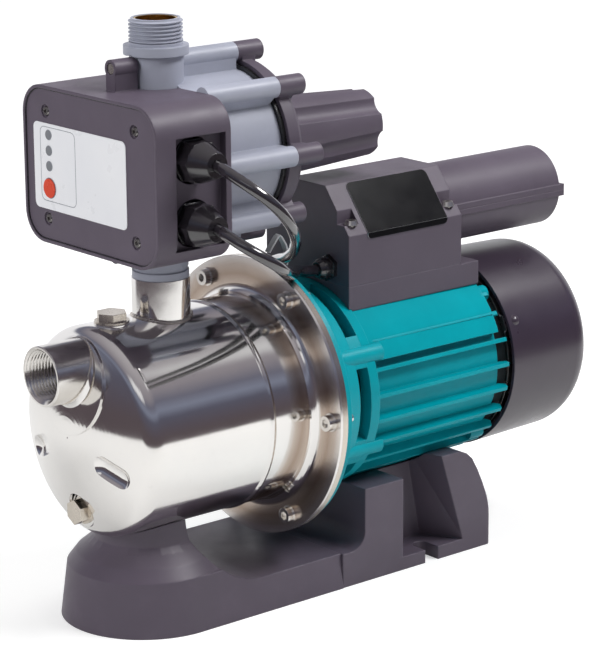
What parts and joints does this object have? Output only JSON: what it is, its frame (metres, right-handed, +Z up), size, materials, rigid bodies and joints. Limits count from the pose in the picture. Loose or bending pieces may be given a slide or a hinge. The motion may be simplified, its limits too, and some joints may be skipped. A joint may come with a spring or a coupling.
{
  "type": "monoblock pump",
  "caption": "Self-priming jet pump on a moulded base: stainless casing, finned motor with terminal box and fan cover, and a pressure controller on the discharge.",
  "frame": {"origin": "on the ground plane under the base, straight below the axis of the vertical discharge", "axes": "+Z up along the discharge, +X along the motor shaft from the suction mouth to the fan, -Y the side with the cable glands"},
  "size_m": [0.417, 0.2999, 0.3753],
  "materials": {
    "stainless": "polished stainless sheet",
    "machined_steel": "machined",
    "zinc_screw": "zinc plated",
    "light_alloy": "machined die casting",
    "teal_paint": "satin enamel",
    "dark_plastic": "fine grained moulding",
    "black_plastic": "moulded",
    "blue_grey_plastic": "moulded",
    "pale_plastic": "moulded",
    "red_button": "smooth",
    "led_grey": "smooth",
    "label_film": "printed film",
    "plate_black": "printed film",
    "rubber": "soft",
    "brass": "machined",
    "ceramic": "lapped",
    "lamination": "stacked sheet",
    "copper_winding": "varnished",
    "board_green": "solder mask"
  },
  "bodies": {
    "frame": {"base_front": "dark_plastic", "base_rear": "dark_plastic", "base_screws": "zinc_screw", "pump_body": "stainless", "suction_socket": "stainless", "discharge_socket": "stainless", "flange_screws": "machined_steel", "casing_cover": "light_alloy", "body_oring": "rubber", "diffuser": "black_plastic", "ejector_body": "black_plastic", "ejector_nozzle": "brass", "seal_seat": "ceramic", "motor_bracket": "teal_paint", "bearing_races": "machined_steel", "motor_casing": "teal_paint", "stator_core": "lamination", "stator_windings": "copper_winding", "rear_shield": "light_alloy", "tie_rods": "zinc_screw", "fan_cover": "black_plastic", "terminal_base": "dark_plastic", "terminal_lid": "dark_plastic", "capacitor_tray": "dark_plastic", "capacitor": "light_alloy", "terminal_block": "pale_plastic", "lid_screws": "zinc_screw", "name_plate": "plate_black", "terminal_gland": "black_plastic", "valve_body": "blue_grey_plastic", "outlet_spigot": "blue_grey_plastic", "outlet_liner": "brass", "diaphragm": "rubber", "pressure_spring": "machined_steel", "back_cover": "dark_plastic", "clamp_screws": "zinc_screw", "electronics_box": "dark_plastic", "front_plate": "dark_plastic", "plate_screws": "zinc_screw", "display_label": "label_film", "status_leds": "led_grey", "circuit_board": "board_green", "gland_bodies": "black_plastic", "gland_nuts": "black_plastic", "pump_cable": "rubber", "mains_cord": "rubber", "mains_coil": "rubber", "mains_plug": "black_plastic"},
    "rotor": {"rotor_shaft": "machined_steel", "rotor_core": "lamination", "bearing_inners": "machined_steel", "impeller": "pale_plastic", "impeller_nut": "stainless", "seal_rotary": "rubber", "fan": "black_plastic"},
    "button": {"restart_button": "red_button"},
    "float": {"check_float": "pale_plastic"},
    "diaphragm_piston": {"piston": "pale_plastic"},
    "prime_cap": {"prime_plug": "light_alloy"},
    "drain_cap": {"drain_plug": "light_alloy"}
  },
  "joints": [
    {"name": "shaft_spin", "type": "hinge", "parent": "frame", "child": "rotor", "pos_m": [0.15, 0, 0.125], "axis": [1, 0, 0], "continuous": true},
    {"name": "button_press", "type": "slide", "parent": "frame", "child": "button", "axis": [1, 0, 0], "range_m": [0, 0.0015], "stiffness_N_per_m": 400},
    {"name": "float_lift", "type": "slide", "parent": "frame", "child": "float", "axis": [0, 0, 1], "range_m": [0, 0.008]},
    {"name": "piston_stroke", "type": "slide", "parent": "frame", "child": "diaphragm_piston", "axis": [1, 0, 0], "range_m": [0, 0.004], "stiffness_N_per_m": 2000, "deforming": ["pressure_spring"]},
    {"name": "prime_plug_lift", "type": "slide", "parent": "frame", "child": "prime_cap", "axis": [0, 0, 1], "range_m": [0, 0.022]},
    {"name": "drain_plug_pull", "type": "slide", "parent": "frame", "child": "drain_cap", "axis": [-1, 0, 0], "range_m": [0, 0.02]}
  ]
}
